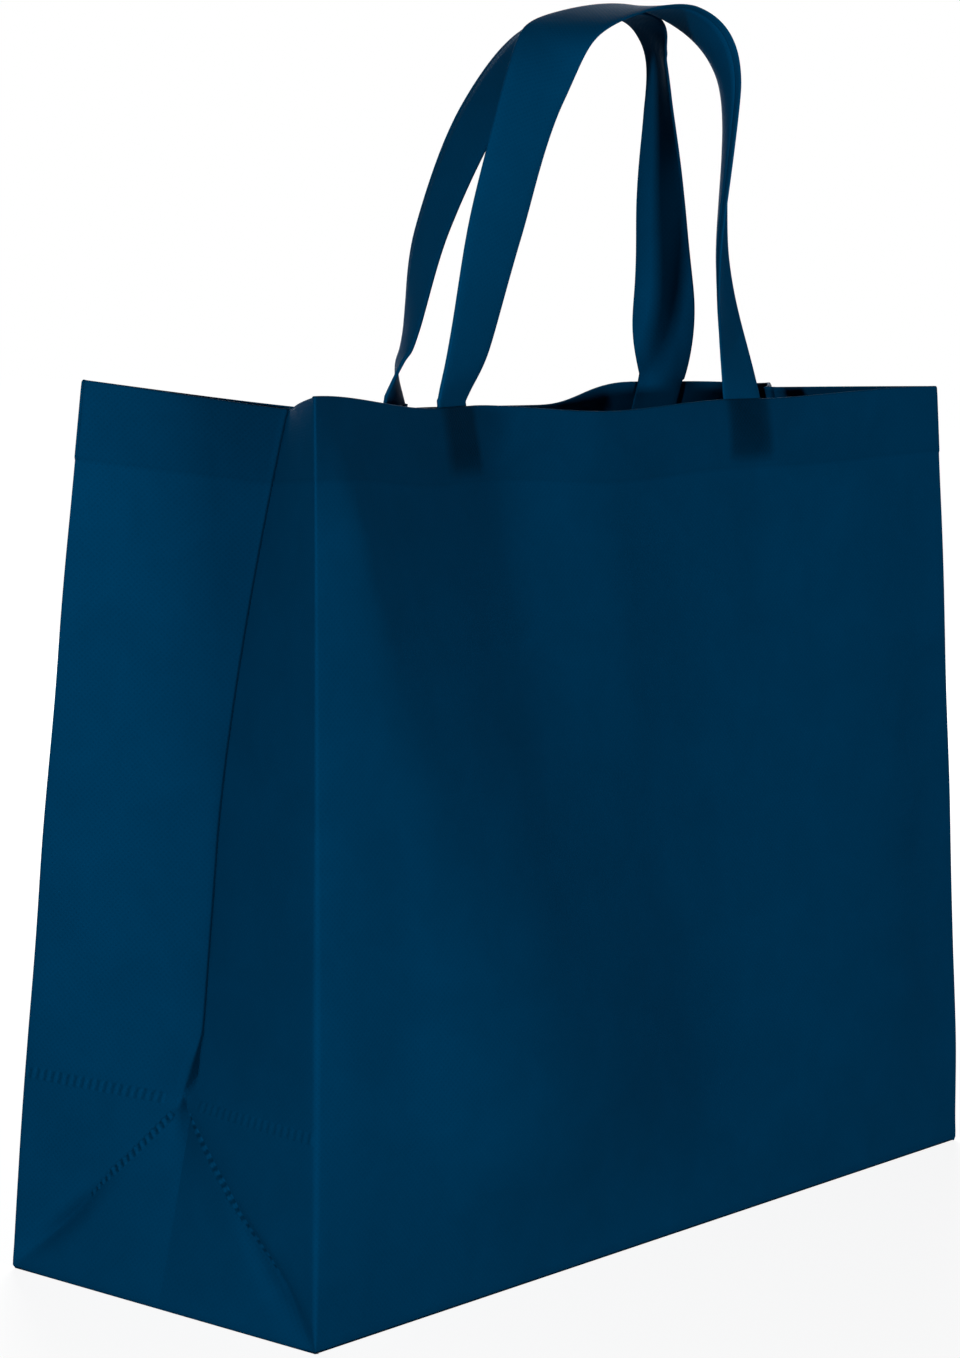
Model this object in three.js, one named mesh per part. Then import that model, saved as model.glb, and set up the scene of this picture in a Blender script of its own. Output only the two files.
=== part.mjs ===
// A welded cloth carrier bag with folded-in sides and two strip handles.
// Millimetres, +Z up. The base lies on z = 0 with its centre at the origin.
// +X runs along the front, from its left end to its right end, and the front faces -Y.
import * as THREE from 'three';

// Driving sizes of the bag
const WIDTH = 450;
const DEPTH = 160;
const HEIGHT = 350;
const CLOTH = 0.5;

// The hem is the top of the web, folded inward and down
const HEM = 30;
const HEM_GAP = 0.4;
const FOLD_RISE = 0.6;

// Folded-in sides: how far the middle of each side lies inward, from the weld apex to the rim
const WELD_APEX = DEPTH / 2;
const APEX_DEPTH = 9.5;
const LEFT_FOLD = { depth: 54, drop: 9 };
const RIGHT_FOLD = { depth: 66, drop: 0.2 };
const SHOULDER = { depth: 19, rise: 25 };
const WAIST = { depth: 23, rise: 95 };
const FOLD_POWER = 1.4;
const DROP_POWER = 3;
const FOLD_Y = -7;
const SEAM_FLAT = 3;
const CORNER_SHARE = 0.02;

// How the panels lean: toward the middle plane on the way up, and the right end to the left
const LEAN_POWER = 1.25;
const RIGHT_LEAN = 2.3;

// Handles: a strip folded in three, welded to the inside of the hem
const LEG_SPACING = 196;
const STRIP_WIDTH = 27.5;
const STRIP_MARGIN = 1;
const STRIP_THICKNESS = 3 * CLOTH;
const STRIP_ROUNDING = 0.4 * STRIP_THICKNESS;
const STRIP_RISE = 164;
const WELD_GAP = 0.5;
const WELD_END = 3;
const FLAT_RISE = 2;

// Facets: across one length of panel, across half a side, up the base triangle as shares of its
// height, up the upper wall, and along a handle
const SPAN_STEPS = 4;
const HALF_SIDE_STEPS = 3;
const TRIANGLE_SHARES = [0, 0.06, 0.33, 0.66, 1];
const UPPER_STEPS = 4;
const HANDLE_STEPS = 56;

// The rim of each long panel, at its corners, handle legs and middle.
// reach is how far the rim lies from the bag's middle plane, drop how far it lies under the full
// height, and slope is how fast reach grows to the right where the handle stiffens the rim.
// dropSlope is how fast the rim falls away from a corner.
const FRONT_RIM = {
  left: { reach: 69, drop: -1.5 },
  leftLeg: { reach: 32, drop: 6.5, slope: -0.3 },
  middle: { reach: 33, drop: 10 },
  rightLeg: { reach: 34, drop: 6.5, slope: 0 },
  right: { reach: 53, drop: 1.7 },
};
const REAR_RIM = {
  left: { reach: 49, drop: -2, dropSlope: 0.13 },
  leftLeg: { reach: 4, drop: 9.6, slope: 0.38 },
  middle: { reach: 5, drop: 9.3 },
  rightLeg: { reach: 15, drop: 1.2, slope: -0.16 },
  right: { reach: 40, drop: 4.5 },
};

// Handle routes, as points over the rim: across is a share of the half spacing, edge is how far
// the strip's edge that faces the other handle lies in front of its welds, up is a share of the
// rise, and turn is the strip's own direction in degrees.
const FRONT_ROUTE = [
  { across: -0.965, edge: 4.5, up: 0.136, turn: 4 },
  { across: -0.83, edge: 4.5, up: 0.425, turn: -9 },
  { across: -0.545, edge: -2, up: 0.765, turn: -18 },
  { across: -0.21, edge: -14.5, up: 0.92, turn: -45 },
  { across: 0.5, edge: -22, up: 0.985, turn: -79 },
  { across: 0.9, edge: -17, up: 0.82, turn: -126 },
  { across: 1.03, edge: -19.5, up: 0.345, turn: -153 },
];
const REAR_ROUTE = [
  { across: -0.96, edge: 8.5, up: 0.09, turn: 43 },
  { across: -0.905, edge: 10.7, up: 0.17, turn: 51 },
  { across: -0.76, edge: 11.5, up: 0.42, turn: 70 },
  { across: -0.44, edge: 14.7, up: 0.72, turn: 86 },
  { across: 0.06, edge: 13, up: 0.915, turn: 97 },
  { across: 0.65, edge: 11, up: 0.955, turn: 80 },
  { across: 0.89, edge: 8, up: 0.875, turn: 54 },
  { across: 0.94, edge: 10.3, up: 0.7, turn: 63 },
  { across: 1.02, edge: 9.3, up: 0.47, turn: 86 },
  { across: 1.095, edge: 7, up: 0.22, turn: 110 },
];

const CLOTH_COLOUR = 0x003557;
const clothMaterial = () =>
  new THREE.MeshStandardMaterial({ color: CLOTH_COLOUR, roughness: 0.8, metalness: 0 });

const lerp = THREE.MathUtils.lerp;
const toRadians = THREE.MathUtils.degToRad;

// Cubic between two values with a given slope at each end
function hermite(a, slopeA, b, slopeB, length, t) {
  const t2 = t * t;
  const t3 = t2 * t;
  return (
    a * (2 * t3 - 3 * t2 + 1) +
    slopeA * length * (t3 - 2 * t2 + t) +
    b * (3 * t2 - 2 * t3) +
    slopeB * length * (t3 - t2)
  );
}

// The knots of one rim, from left to right. Each leg holds a straight stretch as wide as its strip.
function rimKnots(rim) {
  const half = WIDTH / 2;
  const leg = LEG_SPACING / 2;
  const straight = STRIP_WIDTH / 2 + STRIP_MARGIN;
  const knots = [{ x: -half, ...rim.left }];
  for (const [x, station] of [[-leg, rim.leftLeg], [leg, rim.rightLeg]]) {
    if (x > 0) knots.push({ x: 0, slope: 0, ...rim.middle });
    for (const along of [-straight, straight]) {
      knots.push({ ...station, x: x + along, reach: station.reach + station.slope * along });
    }
  }
  knots.push({ x: half, ...rim.right });
  const last = knots.length - 1;
  const chordSlope = (a, b) => (b.reach - a.reach) / (b.x - a.x);
  knots[0].slope = chordSlope(knots[0], knots[1]);
  knots[last].slope = chordSlope(knots[last - 1], knots[last]);
  return knots;
}

// Rim stations between the knots: x, reach and drop
function rimStations(rim) {
  const knots = rimKnots(rim);
  const stations = [];
  for (let k = 0; k < knots.length - 1; k += 1) {
    const a = knots[k];
    const b = knots[k + 1];
    const acrossLeg = a.slope === b.slope && a.drop === b.drop;
    const steps = acrossLeg ? 1 : SPAN_STEPS;
    for (let i = 0; i < steps; i += 1) {
      const t = i / steps;
      stations.push({
        x: lerp(a.x, b.x, t),
        reach: hermite(a.reach, a.slope, b.reach, b.slope, b.x - a.x, t),
        drop: hermite(a.drop, a.dropSlope ?? 0, b.drop, 0, b.x - a.x, t),
      });
    }
  }
  stations.push(knots[knots.length - 1]);
  return stations;
}

// A point of a long panel at a share s of its height. side is -1 for the front and 1 for the rear.
function panelPoint(station, side, s) {
  const rightShare = Math.max(station.x / (WIDTH / 2), 0);
  return new THREE.Vector3(
    station.x - RIGHT_LEAN * rightShare * s,
    side * lerp(DEPTH / 2, station.reach, s ** LEAN_POWER),
    s * (HEIGHT - station.drop)
  );
}

// How far the middle fold of a side lies inward at a share s of the height
function foldDepth(s, rimDepth) {
  const rise = s * HEIGHT - WELD_APEX;
  if (rise <= 0) return APEX_DEPTH * (1 + rise / WELD_APEX);
  if (rise <= SHOULDER.rise) return lerp(APEX_DEPTH, SHOULDER.depth, rise / SHOULDER.rise);
  if (rise <= WAIST.rise) {
    return lerp(SHOULDER.depth, WAIST.depth, (rise - SHOULDER.rise) / (WAIST.rise - SHOULDER.rise));
  }
  const t = (rise - WAIST.rise) / (HEIGHT - WELD_APEX - WAIST.rise);
  return lerp(WAIST.depth, rimDepth, t ** FOLD_POWER);
}

// One folded-in side, from its first corner to its second without the corners themselves.
// Under the weld apex the middle is a flat triangle between the two diagonal welds.
function sidePoints(first, second, inward, fold, s) {
  const middleY = FOLD_Y * s;
  const depth = foldDepth(s, fold.depth);
  const cornerX = (first.x + second.x) / 2;
  const halfLength = Math.min(Math.abs(first.y - middleY), Math.abs(second.y - middleY));
  const apexShare = Math.min(s / (WELD_APEX / HEIGHT), 1);
  const flat = Math.max((1 - apexShare) * halfLength, SEAM_FLAT);
  const height = lerp(first.z, second.z, 0.5) - fold.drop * s ** DROP_POWER;
  const weldPoint = (corner) => {
    const y = apexShare === 0
      ? lerp(corner.y, middleY, CORNER_SHARE)
      : middleY + Math.sign(corner.y - middleY) * flat;
    return new THREE.Vector3(cornerX + inward * depth, y, height);
  };
  const firstWeld = weldPoint(first);
  const secondWeld = weldPoint(second);
  const points = [];
  for (let i = 1; i < HALF_SIDE_STEPS; i += 1) {
    points.push(first.clone().lerp(firstWeld, i / HALF_SIDE_STEPS));
  }
  points.push(firstWeld, firstWeld.clone().lerp(secondWeld, 0.5), secondWeld);
  for (let i = 1; i < HALF_SIDE_STEPS; i += 1) {
    points.push(secondWeld.clone().lerp(second, i / HALF_SIDE_STEPS));
  }
  return points;
}

const FRONT_STATIONS = rimStations(FRONT_RIM);
const REAR_STATIONS = rimStations(REAR_RIM);

// The outer face of the web at a share s of the height, anticlockwise seen from above
function outerRing(s) {
  const front = FRONT_STATIONS.map((station) => panelPoint(station, -1, s));
  const rear = REAR_STATIONS.map((station) => panelPoint(station, 1, s)).reverse();
  const frontRight = front[front.length - 1];
  const rearRight = rear[0];
  const rearLeft = rear[rear.length - 1];
  return [
    ...front,
    ...sidePoints(frontRight, rearRight, -1, RIGHT_FOLD, s),
    ...rear,
    ...sidePoints(rearLeft, front[0], 1, LEFT_FOLD, s),
  ];
}

// The same ring moved inward in plan, with mitred corners
function insetRing(ring, inset) {
  const count = ring.length;
  const inwardNormal = (a, b) => new THREE.Vector2(a.y - b.y, b.x - a.x).normalize();
  return ring.map((point, i) => {
    const before = inwardNormal(ring[(i + count - 1) % count], point);
    const after = inwardNormal(point, ring[(i + 1) % count]);
    const mitre = before.clone().add(after);
    mitre.multiplyScalar((2 * inset) / mitre.lengthSq());
    return new THREE.Vector3(point.x + mitre.x, point.y + mitre.y, point.z);
  });
}

const atHeight = (ring, z) => ring.map((point) => new THREE.Vector3(point.x, point.y, z));
const lowered = (ring, amount) =>
  ring.map((point) => new THREE.Vector3(point.x, point.y, point.z - amount));

// A closed body, made of rings of points and the faces between them
class Shell {
  constructor() {
    this.positions = [];
    this.indices = [];
  }

  addRing(points) {
    const start = this.positions.length / 3;
    for (const point of points) this.positions.push(point.x, point.y, point.z);
    return points.map((_, i) => start + i);
  }

  // Faces between a lower and an upper ring, facing out of the bag or in. Both kinds are split
  // along the same diagonals, so that the two faces of the cloth stay parallel.
  addWall(lower, upper, facesIn) {
    const count = lower.length;
    for (let i = 0; i < count; i += 1) {
      const j = (i + 1) % count;
      if (facesIn) {
        this.indices.push(lower[i], upper[j], lower[j], lower[i], upper[i], upper[j]);
      } else {
        this.indices.push(lower[i], lower[j], upper[j], lower[i], upper[j], upper[i]);
      }
    }
  }

  // Faces from one centre to each pair of points along an edge. Seen from the side that they face
  // when facesUp is true, the edge runs anticlockwise.
  addFan(centre, edge, facesUp) {
    for (let i = 0; i < edge.length - 1; i += 1) {
      if (facesUp) this.indices.push(centre, edge[i], edge[i + 1]);
      else this.indices.push(centre, edge[i + 1], edge[i]);
    }
  }

  // The base, as strips from the front to the rear and a fan at each side. A ring holds the
  // front's points, the right side's, the rear's from right to left, then the left side's.
  addBase(ring, facesUp) {
    const last = FRONT_STATIONS.length - 1;
    const sideCount = ring.length / 2 - FRONT_STATIONS.length;
    const rearRight = FRONT_STATIONS.length + sideCount;
    const rearLeft = rearRight + last;
    const rearAt = (i) => ring[rearLeft - i];
    for (let i = 1; i < last - 1; i += 1) {
      this.addFan(ring[i], [ring[i + 1], rearAt(i + 1), rearAt(i)], facesUp);
    }
    const rightEdge = [...ring.slice(last, rearRight + 1), rearAt(last - 1)];
    const leftEdge = [rearAt(1), ...ring.slice(rearLeft), ring[0]];
    this.addFan(ring[last - 1], rightEdge, facesUp);
    this.addFan(ring[1], leftEdge, facesUp);
  }

  toGeometry() {
    const geometry = new THREE.BufferGeometry();
    geometry.setAttribute('position', new THREE.Float32BufferAttribute(this.positions, 3));
    geometry.setIndex(this.indices);
    geometry.computeVertexNormals();
    return geometry;
  }
}

// Heights of the rings, as shares: the base triangle, the wall and the lower edge of the hem
function wallShares() {
  const waist = WELD_APEX + WAIST.rise;
  const hemEdge = HEIGHT - HEM;
  const shoulder = WELD_APEX + SHOULDER.rise;
  const heights = TRIANGLE_SHARES.map((share) => share * WELD_APEX);
  heights.push(shoulder, lerp(shoulder, waist, 0.5), waist);
  for (let i = 1; i <= UPPER_STEPS; i += 1) heights.push(lerp(waist, hemEdge, i / UPPER_STEPS));
  heights.push(HEIGHT);
  return heights.map((height) => height / HEIGHT);
}

// The web: up the outer face, over the rim, down the hem, up behind it and down the inner face
function makeBody() {
  const shell = new Shell();
  const shares = wallShares();
  const rings = shares.map(outerRing);
  const rim = rings[rings.length - 1];
  const hemEdge = rings[rings.length - 2];
  const hemOuter = CLOTH + HEM_GAP;
  const hemInner = hemOuter + CLOTH;

  const outer = [...rings.slice(0, -1), lowered(rim, FOLD_RISE)].map((ring) => shell.addRing(ring));
  for (let i = 0; i < outer.length - 1; i += 1) shell.addWall(outer[i], outer[i + 1], false);
  shell.addBase(outer[0], false);

  const fold = shell.addRing(insetRing(rim, hemInner / 2));
  const hemTop = shell.addRing(lowered(insetRing(rim, hemInner), FOLD_RISE));
  const hemFoot = shell.addRing(insetRing(hemEdge, hemInner));
  const hemBackFoot = shell.addRing(insetRing(hemEdge, hemOuter));
  const hemBackTop = shell.addRing(lowered(insetRing(rim, hemOuter), FOLD_RISE + CLOTH));
  const wallTop = shell.addRing(lowered(insetRing(rim, CLOTH), FOLD_RISE + CLOTH));
  shell.addWall(outer[outer.length - 1], fold, false);
  shell.addWall(hemTop, fold, true);
  shell.addWall(hemFoot, hemTop, true);
  shell.addWall(hemBackFoot, hemFoot, true);
  shell.addWall(hemBackFoot, hemBackTop, false);
  shell.addWall(wallTop, hemBackTop, true);

  const inner = [atHeight(insetRing(rings[0], CLOTH), CLOTH)];
  for (const ring of rings.slice(1, -1)) inner.push(insetRing(ring, CLOTH));
  const innerRings = [...inner.map((ring) => shell.addRing(ring)), wallTop];
  for (let i = 0; i < innerRings.length - 1; i += 1) {
    shell.addWall(innerRings[i], innerRings[i + 1], true);
  }
  shell.addBase(innerRings[0], true);
  return shell.toGeometry();
}

// Where a handle leg lies against the inside of the hem, at a share s of the height. leg is -1
// or 1, and turn is the direction of the rim there, a half turn further on at the right leg.
function rootFrame(rim, side, leg, s) {
  const station = leg < 0 ? rim.leftLeg : rim.rightLeg;
  const point = panelPoint({ x: (leg * LEG_SPACING) / 2, ...station }, side, s);
  const inset = 2 * CLOTH + HEM_GAP + WELD_GAP + STRIP_THICKNESS / 2;
  const rimTurn = Math.atan(side * station.slope * s ** LEAN_POWER);
  point.x += side * Math.sin(rimTurn) * inset;
  point.y -= side * Math.cos(rimTurn) * inset;
  return { point, turn: leg < 0 ? rimTurn : rimTurn + side * Math.PI };
}

// The centre and turn of a strip all along its route, from one welded end to the other
function handleFrames(side, rim, route) {
  const weldShare = 1 - (HEM - WELD_END) / HEIGHT;
  const freeShare = 1 + FLAT_RISE / HEIGHT;
  const left = rootFrame(rim, side, -1, freeShare);
  const right = rootFrame(rim, side, 1, freeShare);
  const free = route.map(({ across, edge, up, turn }) => {
    const point = left.point.clone().lerp(right.point, (across + 1) / 2);
    const halfReach = (Math.abs(Math.sin(toRadians(turn))) * STRIP_WIDTH) / 2;
    point.add(new THREE.Vector3(0, side * halfReach - edge, up * STRIP_RISE));
    return { point, turn: toRadians(turn) };
  });
  const knots = [left, ...free, right];
  const smooth = (points) => new THREE.CatmullRomCurve3(points, false, 'catmullrom', 0.5);
  const centre = smooth(knots.map(({ point }) => point));
  const turns = smooth(knots.map(({ turn }) => new THREE.Vector3(turn, 0, 0)));

  const frames = [rootFrame(rim, side, -1, weldShare)];
  for (let i = 0; i <= HANDLE_STEPS; i += 1) {
    const t = i / HANDLE_STEPS;
    frames.push({ point: centre.getPoint(t), turn: turns.getPoint(t).x });
  }
  frames.push(rootFrame(rim, side, 1, weldShare));
  return frames;
}

// The strip's section: width and thickness, with its two folded edges rounded
function stripSection() {
  const w = STRIP_WIDTH / 2;
  const f = STRIP_THICKNESS / 2;
  const r = STRIP_ROUNDING;
  return [
    [-w + r, -f], [w - r, -f], [w, -f + r], [w, f - r],
    [w - r, f], [-w + r, f], [-w, f - r], [-w, -f + r],
  ];
}

// A folded strip: its section swept through the frames, square to the route
function makeHandle(side, rim, route) {
  const frames = handleFrames(side, rim, route);
  const section = stripSection();
  const last = frames.length - 1;
  const shell = new Shell();
  const rings = frames.map(({ point, turn }, i) => {
    const before = frames[Math.max(i - 1, 0)].point;
    const after = frames[Math.min(i + 1, last)].point;
    const along = after.clone().sub(before).normalize();
    const width = new THREE.Vector3(Math.cos(turn), Math.sin(turn), 0);
    width.addScaledVector(along, -width.dot(along)).normalize();
    const face = new THREE.Vector3().crossVectors(along, width);
    const place = ([w, f]) => point.clone().addScaledVector(width, w).addScaledVector(face, f);
    return shell.addRing(section.map(place));
  });
  for (let i = 0; i < last; i += 1) shell.addWall(rings[i], rings[i + 1], false);
  shell.addFan(rings[0][0], rings[0].slice(1), false);
  shell.addFan(rings[last][0], rings[last].slice(1), true);
  return shell.toGeometry();
}

function namedMesh(name, geometry) {
  const mesh = new THREE.Mesh(geometry, clothMaterial());
  mesh.name = name;
  return mesh;
}

const bag = new THREE.Group();
bag.add(namedMesh('bag_body', makeBody()));
bag.add(namedMesh('front_handle', makeHandle(-1, FRONT_RIM, FRONT_ROUTE)));
bag.add(namedMesh('rear_handle', makeHandle(1, REAR_RIM, REAR_ROUTE)));

export default bag;
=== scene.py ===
# Looks of a welded non-woven carrier bag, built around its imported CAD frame.
# Metres, +Z up. +X runs along the front from its left end to its right end, the front faces -Y.
# A share s of the height is 0 at the base and 1 at the rim. A side is -1 for the front panel and
# its handle, and 1 for the rear ones.
import math

import bpy
import numpy as np
from mathutils import Matrix, Vector, noise
from mathutils.bvhtree import BVHTree


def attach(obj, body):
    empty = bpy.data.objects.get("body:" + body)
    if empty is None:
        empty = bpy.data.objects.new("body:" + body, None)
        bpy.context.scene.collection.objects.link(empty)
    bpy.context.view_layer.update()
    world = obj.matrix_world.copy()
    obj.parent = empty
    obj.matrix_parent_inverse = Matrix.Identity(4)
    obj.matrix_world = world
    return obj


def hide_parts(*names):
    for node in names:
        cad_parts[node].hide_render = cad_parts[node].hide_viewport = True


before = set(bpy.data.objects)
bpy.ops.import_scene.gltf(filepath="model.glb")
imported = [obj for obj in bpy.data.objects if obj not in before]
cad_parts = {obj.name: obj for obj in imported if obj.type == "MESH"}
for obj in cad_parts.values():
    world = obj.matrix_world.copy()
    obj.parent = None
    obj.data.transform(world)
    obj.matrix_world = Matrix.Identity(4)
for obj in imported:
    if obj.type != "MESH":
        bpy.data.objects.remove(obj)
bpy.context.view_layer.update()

# Driving sizes, the same as the frame's
WIDTH = 0.450
DEPTH = 0.160
HEIGHT = 0.350
CLOTH = 0.0005
HEM = 0.030
HEM_GAP = 0.0004

# Folded-in sides. Depths say how far the middle fold lies inward, rises are above the weld apex,
# and drops say how far the rim sinks at the fold.
WELD_APEX = DEPTH / 2
APEX_DEPTH = 0.0095
SHOULDER = {"depth": 0.019, "rise": 0.025}
WAIST = {"depth": 0.023, "rise": 0.095}
LEFT_FOLD = {"depth": 0.054, "drop": 0.009}
RIGHT_FOLD = {"depth": 0.066, "drop": 0.0002}
FOLD_POWER = 1.4
DROP_POWER = 3
FOLD_Y = -0.007
FOOT_SHARE = 0.02
SIDE_BOW = 0.0012
BOW_RISE = (0.05, 0.3)

# Lean of the panels, and the round of the corners at some shares of the height
LEAN_POWER = 1.25
RIGHT_LEAN = 0.0023
CORNER_SHARES = [0, 0.03, 0.25, 0.6, 0.9, 1]
CORNER_RADII = [0.001, 0.002, 0.0026, 0.002, 0.0014, 0.0012]
CORNER_MOST = 0.6

# Handles
LEG_SPACING = 0.196
STRIP_WIDTH = 0.0275
STRIP_MARGIN = 0.001
STRIP_THICKNESS = 3 * CLOTH
STRIP_RISE = 0.164
WELD_GAP = 0.0005
WELD_END = 0.003
FLAT_RISE = 0.002

# A strip's layers: their thickness and spacing, and how far its free edges stay from its sides
LAYER = 0.00046
LAYER_STEP = 0.00052
FREE_EDGE = 0.0030
HIDDEN_EDGE = 0.0016

# A strip's unevenness: heights in metres or as a share of its width, and radians per metre
CROWN = 0.0004
CROWN_RATE = 31
EDGE_RIPPLE = 0.012
EDGE_RATE = 90
RIPPLE_RUN = 0.030

# The rim of each long panel: reach from the middle plane, drop under the height, and their slopes
FRONT_RIM = {
    "left": {"reach": 0.069, "drop": -0.0015},
    "left_leg": {"reach": 0.032, "drop": 0.0065, "slope": -0.3},
    "middle": {"reach": 0.033, "drop": 0.010},
    "right_leg": {"reach": 0.034, "drop": 0.0065, "slope": 0.0},
    "right": {"reach": 0.053, "drop": 0.0017},
}
REAR_RIM = {
    "left": {"reach": 0.049, "drop": -0.002, "drop_slope": 0.13},
    "left_leg": {"reach": 0.004, "drop": 0.0096, "slope": 0.38},
    "middle": {"reach": 0.005, "drop": 0.0093},
    "right_leg": {"reach": 0.015, "drop": 0.0012, "slope": -0.16},
    "right": {"reach": 0.040, "drop": 0.0045},
}

# Handle routes over the rim: share of the half spacing, metres in front of the welds, share of the
# rise, the strip's own direction in degrees, and how far its middle bows out from its edges
FRONT_ROUTE = [
    (-0.965, 0.0045, 0.136, 4, -0.0008),
    (-0.83, 0.0045, 0.425, -9, -0.0012),
    (-0.545, -0.002, 0.765, -18, -0.0008),
    (-0.21, -0.0145, 0.92, -45, 0.0002),
    (0.5, -0.022, 0.985, -79, 0.0008),
    (0.9, -0.017, 0.82, -126, 0.0022),
    (1.03, -0.0195, 0.345, -153, 0.0030),
]
REAR_ROUTE = [
    (-0.96, 0.0085, 0.09, 43, 0.0012),
    (-0.905, 0.0107, 0.17, 51, 0.0015),
    (-0.76, 0.0115, 0.42, 70, 0.0010),
    (-0.44, 0.0147, 0.72, 86, 0.0006),
    (0.06, 0.013, 0.915, 97, 0.0005),
    (0.65, 0.011, 0.955, 80, 0.0010),
    (0.89, 0.008, 0.875, 54, 0.0020),
    (0.94, 0.0103, 0.70, 63, 0.0010),
    (1.02, 0.0093, 0.47, 86, -0.0022),
    (1.095, 0.007, 0.22, 110, -0.0030),
]

# The long panels' bulge beside the left front and right rear corners
WEDGE_FOOT = 0.136
WEDGE_TOP = 0.014
WEDGE_FLAT = 0.62
WEDGE_SLOPE = math.tan(math.radians(19))
WEDGE_HEIGHT = 0.0198
WEDGE_FALL = 0.160
BULGE_START = (0, 0.24)
BULGE_END = (0.84, 1)

# Their slow wave, the pull of the handle legs, and a fine unevenness
WAVE_LENGTH = 0.220
WAVE_CREST = 0.105
WAVE_RUN = 0.05
FRONT_WAVE = 0.0034
REAR_WAVE = 0.0022
TUG = 0.0010
TUG_SPREAD = 0.016
TUG_START = (0.45, 0.85)
TUG_END = (0.9, 0.96)
WOBBLE = 0.0008
WOBBLE_SCALE = 14
WOBBLE_OFFSET = Vector((7.3, 3.1, 5.7))
WOBBLE_START = (0.02, 0.15)
WOBBLE_END = (0.82, 0.93)
WOBBLE_CUT = 0.8
OUTWARD_STEP = 1e-4

# The seam down each folded-in side: a slit that opens into a pit just above the weld apex. Its
# section has four stations from its middle to its shoulder, with their shares of its half width
# and of its depth.
SLIT_DEPTH = 0.0035
SLIT_HALF = 0.00045
SLIT_OPENING = 3
SLIT_SHOULDER = 0.0012
SLIT_STATIONS = [0, 0.12, 0.6, 1]
SLIT_WIDTHS = np.array([0, 0.8, 1.2, 2])
SLIT_DEPTHS = [1, 0.96, 0.3, 0]
PIT_DEPTH = 0.005
PIT_RISE = 0.009
PIT_SPREAD = 0.008
SLIT_MIX = (-0.004, 0.003)

# The crease down the triangle under the weld apex
CREASE_DEPTH = 0.0065
CREASE_GROWTH = 0.8
CREASE_EDGE = 1.3

# The groove beside each diagonal weld. Its ranges are shares of the weld apex's height, and
# GROOVE_SIDE is a share of the way from the corner to the weld.
GROOVE_DEPTH = 0.0005
GROOVE_EXTRA_DEPTH = 0.0046
GROOVE_SPREAD = 0.0028
GROOVE_EXTRA_SPREAD = 0.0036
GROOVE_LOW = (0.25, 0.62)
GROOVE_START = (0.02, 0.30)
GROOVE_END = (0.95, 1.1)
GROOVE_SIDE = (0, 0.5)

# Welds: bars across a narrow line, with a painted highlight beside each bar. The diagonal ones
# start and end at shares of the weld apex's height, the level ones start at a distance from the apex.
WELD_WIDTH = 0.0062
WELD_PITCH = 0.0037
WELD_LIFT = 0.00042
WELD_SLANT = 0.22
WELD_SINK = 0.00012
WELD_BED = 0.00016
WELD_EDGE = 0.22
WELD_RUN = 0.003
WELD_BAR = (0.35, 0.85)
PAINTED_HIGHLIGHT_PHASE = 0.42
PAINTED_HIGHLIGHT_SHARE = 0.5
NEAR_WELD_START = 0.42
FAR_WELD_START = 0.30
SIDE_WELD_END = 0.955
LEVEL_WELD_START = 0.004
REAR_LEVEL_LIFT = 0.5
FRONT_LEVEL_LIFT = 0.35

# The seam's fin inside the bag: half its outline, as shares of its width and of the cloth, where
# it starts above the weld apex and ends under the height, and its pinched bars
FIN_WIDTH = 0.006
FIN_OUT = [0, 0.35, 0.7, 0.93, 1.0]
FIN_THICK = [1, 1, 1, 0.8, 0.3]
FIN_ROOT = 0.6
FIN_FOOT = 0.004
FIN_TOP = 0.014
FIN_STEP = 0.0012
FIN_SWAY = 0.0004
FIN_SWAY_RATE = 95
FIN_PINCH = 0.35
FIN_BAR_START = (0.1, 0.4)
FIN_BAR_END = (0.85, 1)
FIN_PINCHED = 0.99
FIN_SHADE = 0.8

# Hem: the radius of its fold at the rim, the ranges where its edge and the leg patches blend in,
# and the line pressed along its edge
RIM_FOLD = CLOTH + HEM_GAP / 2 + CLOTH / 2
HEM_STEP = 0.0003
HEM_BLEND = 0.0008
HEM_LINE = 0.22
HEM_LINE_SPREAD = 0.0007
HEM_ROW = 0.003
HEM_TIP = 0.0001
PATCH_INNER = 0.003
PATCH_OUTER = 0.004
PATCH_RISE = 0.009

# Base: its rounded edge, and the low crease along its middle where the bag folds flat
BASE_ROUNDING = 0.0022
FLOOR_ROUNDING = 0.3 * BASE_ROUNDING
BASE_CREASE = 0.0009
BASE_CREASE_SPREAD = 0.006
BASE_CREASE_RUN = 0.02

# The meshes: steps across a long panel, a corner's half round, half a side and its middle, round
# the base's edge and the rim, along a handle and its welds, and round a strip's section
PANEL_STEPS = 88
ROUND_STEPS = 3
HALF_STEPS = 20
HALF_POWER = 1.5
MIDDLE_STEPS = 12
BASE_STEPS = 4
RIM_STEPS = 6
HEM_ROWS = 8
HANDLE_STEPS = 200
WELDED_STEPS = 10
RUN_STEPS = 8
TURN_STEPS = 5
WELD_ROWS = 30
BAND_STEPS = 9
BAND_COLUMNS = 12

# The wall's rows under the hem's edge: lowest, highest and count of each run. HEM_EDGE_ROWS lie
# close to that edge.
FINE_ROW = 0.0015
WALL_RUNS = [
    (0.0045, WELD_APEX - 0.006, 18),
    (WELD_APEX - 0.0045, WELD_APEX + 0.024, 18),
    (WELD_APEX + 0.028, HEIGHT - HEM - 2 * FINE_ROW, 44),
]
HEM_EDGE_ROWS = [-FINE_ROW, -0.4 * FINE_ROW, 0.4 * FINE_ROW, FINE_ROW]

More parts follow.
